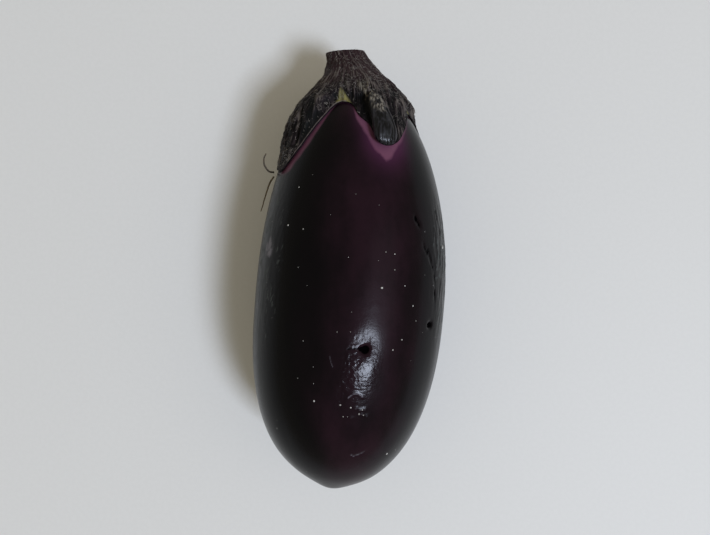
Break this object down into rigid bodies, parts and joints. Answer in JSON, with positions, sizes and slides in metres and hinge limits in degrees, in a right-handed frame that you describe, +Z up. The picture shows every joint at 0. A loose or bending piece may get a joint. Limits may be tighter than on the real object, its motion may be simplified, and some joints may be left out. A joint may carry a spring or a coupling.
{
  "type": "eggplant",
  "caption": "Short oval eggplant lying on its side, with a glossy dark purple skin, a fuzzy lobed calyx, a cut stem stub and a sepal tip that has rolled back.",
  "frame": {"origin": "middle of the small flat spot on the belly that the fruit rests on, under its centre of mass", "axes": "+Z up from the surface it lies on, +Y along the fruit towards its stem, +X across it"},
  "size_m": [0.0651, 0.147, 0.0636],
  "materials": {
    "fruit_skin": "waxy glossy skin, near black with a purple cast, magenta beside the calyx, with fine pale specks and dull scuffs",
    "calyx_leaf": "leathery, ribbed along its length, dark purple-brown under short pale fuzz, with thin pale edges",
    "stem_bark": "fibrous, reddish purple-brown with lengthwise streaks, and a dry pale cut end",
    "rolled_leaf": "smooth and dark with a soft shine, and a torn pale grey-green patch",
    "dry_fibre": "dry, dull, straw brown"
  },
  "bodies": {
    "root": {"fruit": "fruit_skin", "calyx": "calyx_leaf", "stem": "stem_bark", "curled_sepal": "rolled_leaf", "dry_fibre_curled": "dry_fibre", "dry_fibre_straight": "dry_fibre"}
  },
  "joints": []
}
